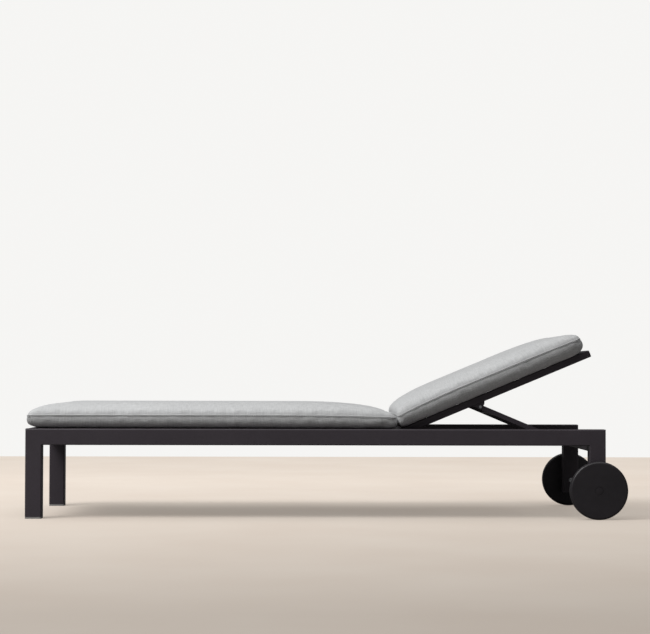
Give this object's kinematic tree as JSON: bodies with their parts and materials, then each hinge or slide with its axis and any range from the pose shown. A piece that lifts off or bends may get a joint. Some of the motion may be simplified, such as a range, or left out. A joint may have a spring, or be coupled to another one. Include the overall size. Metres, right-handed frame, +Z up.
{
  "type": "reclining sun lounger",
  "caption": "Low reclining sun lounger: a square-tube frame on legs and rear wheels, a slatted back held by a folding prop, and two thick grey cushions.",
  "frame": {"origin": "on the ground, under the middle of the overall length and width", "axes": "+X from the foot end to the head end, +Y to the right-hand side of a person lying on it, +Z up"},
  "size_m": [2.072, 0.78, 0.6389],
  "materials": {
    "frame_paint": "matte",
    "cushion_fabric": "matte",
    "wheel_plastic": "matte",
    "glide_plastic": "matte",
    "black_rubber": "matte",
    "nylon": "satin",
    "bright_steel": "satin"
  },
  "bodies": {
    "frame": {"left_side_rail": "frame_paint", "right_side_rail": "frame_paint", "front_left_leg": "frame_paint", "front_right_leg": "frame_paint", "rear_left_leg": "frame_paint", "rear_right_leg": "frame_paint", "front_cross_rail": "frame_paint", "centre_cross_rail": "frame_paint", "hinge_cross_rail": "frame_paint", "rear_cross_rail": "frame_paint", "left_slat_ledge": "frame_paint", "right_slat_ledge": "frame_paint", "seat_slat_01": "frame_paint", "seat_slat_02": "frame_paint", "seat_slat_03": "frame_paint", "seat_slat_04": "frame_paint", "seat_slat_05": "frame_paint", "seat_slat_06": "frame_paint", "seat_slat_07": "frame_paint", "seat_slat_08": "frame_paint", "seat_slat_09": "frame_paint", "seat_slat_10": "frame_paint", "seat_slat_11": "frame_paint", "left_rack": "frame_paint", "right_rack": "frame_paint", "front_left_glide": "glide_plastic", "front_right_glide": "glide_plastic", "rear_leg_caps": "black_rubber", "axle_bolts": "bright_steel", "axle_nuts": "bright_steel", "wheel_spacers": "nylon", "hinge_bolts": "bright_steel", "back_bumpers": "black_rubber", "seat_cushion": "cushion_fabric"},
    "back": {"back_left_rail": "frame_paint", "back_right_rail": "frame_paint", "back_top_rail": "frame_paint", "back_bottom_rail": "frame_paint", "back_slat_01": "frame_paint", "back_slat_02": "frame_paint", "back_slat_03": "frame_paint", "back_slat_04": "frame_paint", "back_slat_05": "frame_paint", "back_slat_06": "frame_paint", "hinge_knuckles": "frame_paint", "hinge_bushes": "nylon", "prop_brackets": "frame_paint", "prop_pins": "bright_steel", "back_cushion": "cushion_fabric"},
    "prop": {"prop_left_arm": "frame_paint", "prop_right_arm": "frame_paint", "prop_spreader": "frame_paint", "prop_foot_bar": "frame_paint"},
    "left_wheel": {"left_wheel": "wheel_plastic", "left_wheel_bush": "nylon", "left_hub_cap": "wheel_plastic"},
    "right_wheel": {"right_wheel": "wheel_plastic", "right_wheel_bush": "nylon", "right_hub_cap": "wheel_plastic"}
  },
  "joints": [
    {"name": "back_hinge", "type": "hinge", "parent": "frame", "child": "back", "pos_m": [0.264, 0, 0.272], "axis": [0, -1, 0], "range_deg": [-22.7, 37.3]},
    {"name": "prop_hinge", "type": "hinge", "parent": "back", "child": "prop", "pos_m": [0.53615, 0, 0.38584], "axis": [0, 1, 0], "range_deg": [-45.4, 74.6]},
    {"name": "left_wheel_spin", "type": "hinge", "parent": "frame", "child": "left_wheel", "pos_m": [0.936, -0.375, 0.1], "axis": [0, 1, 0], "continuous": true},
    {"name": "right_wheel_spin", "type": "hinge", "parent": "frame", "child": "right_wheel", "pos_m": [0.936, 0.375, 0.1], "axis": [0, 1, 0], "continuous": true}
  ],
  "couplings": [
    {"joint": "prop_hinge", "follows": "back_hinge", "ratio": 2}
  ]
}
